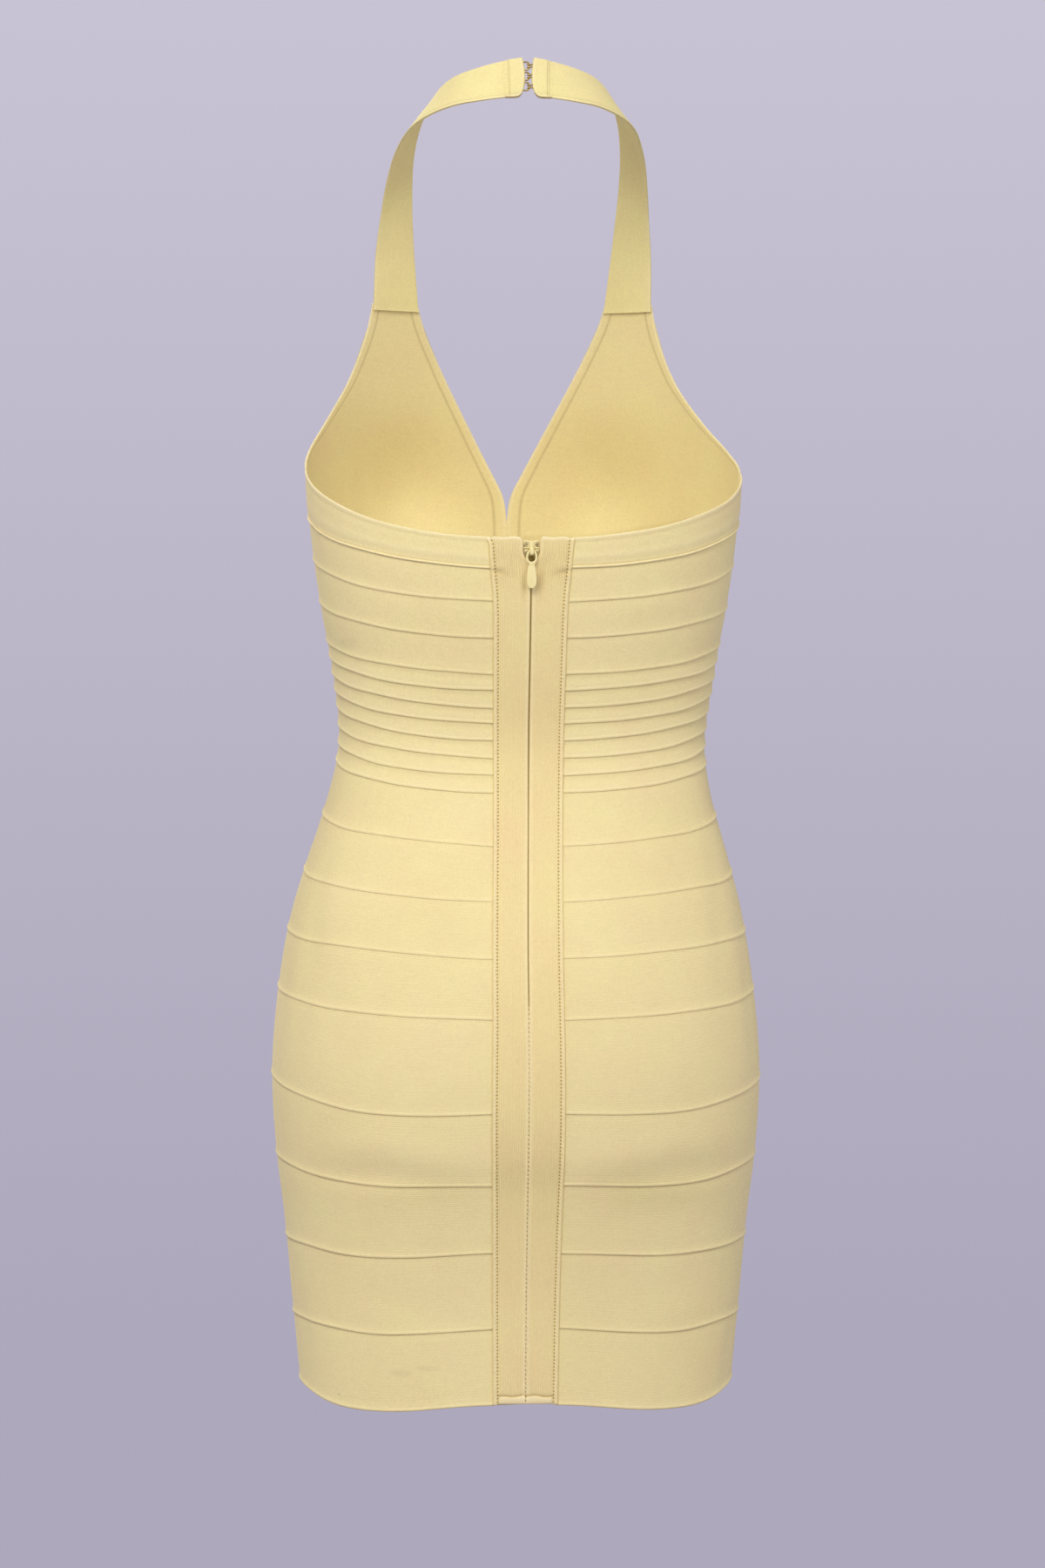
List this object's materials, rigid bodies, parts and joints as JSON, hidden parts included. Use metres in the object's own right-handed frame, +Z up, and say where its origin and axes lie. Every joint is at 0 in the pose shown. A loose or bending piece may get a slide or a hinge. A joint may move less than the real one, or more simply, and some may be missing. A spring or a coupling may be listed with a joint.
{
  "type": "halter-neck bodycon dress",
  "caption": "Pale yellow halter-neck bodycon dress in its worn, hollow shape: horizontal knit bands, narrow strips at the waist, a ribbed strip with a zip down the back and a hooked neck strap.",
  "frame": {"origin": "the nape: inner face of the neck strap at centre back, where the wearer's neck carries the dress", "axes": "+Z up; the wearer faces -Y, so the zip side is on +Y; +X is the wearer's left"},
  "size_m": [0.326, 0.253, 0.8794],
  "materials": {
    "bandage_knit": "soft satin knit with fine ribs across each band",
    "placket_knit": "matte knit with upright ribs",
    "zip_enamel": "satin enamel in the colour of the cloth",
    "hook_brass": "dull dark brass wire"
  },
  "bodies": {
    "dress": {"band_01_back_left": "bandage_knit", "band_01_back_right": "bandage_knit", "band_02_back_left": "bandage_knit", "band_02_back_right": "bandage_knit", "band_02_front": "bandage_knit", "band_03_back_left": "bandage_knit", "band_03_back_right": "bandage_knit", "band_03_front": "bandage_knit", "band_04_back_left": "bandage_knit", "band_04_back_right": "bandage_knit", "band_04_front": "bandage_knit", "band_12_back_left": "bandage_knit", "band_12_back_right": "bandage_knit", "band_12_front": "bandage_knit", "band_13_back_left": "bandage_knit", "band_13_back_right": "bandage_knit", "band_13_front": "bandage_knit", "band_14_back_left": "bandage_knit", "band_14_back_right": "bandage_knit", "band_14_front": "bandage_knit", "band_15_back_left": "bandage_knit", "band_15_back_right": "bandage_knit", "band_15_front": "bandage_knit", "band_16_back_left": "bandage_knit", "band_16_back_right": "bandage_knit", "band_16_front": "bandage_knit", "band_17_back_left": "bandage_knit", "band_17_back_right": "bandage_knit", "band_17_front": "bandage_knit", "band_18_back_left": "bandage_knit", "band_18_back_right": "bandage_knit", "band_18_front": "bandage_knit", "band_19_back_left": "bandage_knit", "band_19_back_right": "bandage_knit", "band_19_front": "bandage_knit", "band_20_back_left": "bandage_knit", "band_20_back_right": "bandage_knit", "band_20_front": "bandage_knit", "waist_strips_back_left": "bandage_knit", "waist_strips_back_right": "bandage_knit", "waist_strips_front": "bandage_knit", "zip_strip_left": "placket_knit", "zip_strip_right": "placket_knit", "zip_tape": "placket_knit", "halter_front_left": "bandage_knit", "halter_front_right": "bandage_knit", "neck_strap_left": "bandage_knit", "neck_strap_right": "bandage_knit", "eye_1": "hook_brass", "eye_2": "hook_brass", "eye_3": "hook_brass", "hook_1": "hook_brass", "hook_2": "hook_brass", "hook_3": "hook_brass", "zip_slider": "zip_enamel"},
    "zip_pull": {"zip_pull": "zip_enamel"}
  },
  "joints": [
    {"name": "pull_hinge", "type": "hinge", "parent": "dress", "child": "zip_pull", "pos_m": [0, 0.0318, -0.312], "axis": [1, 0, 0], "range_deg": [0, 165]}
  ]
}
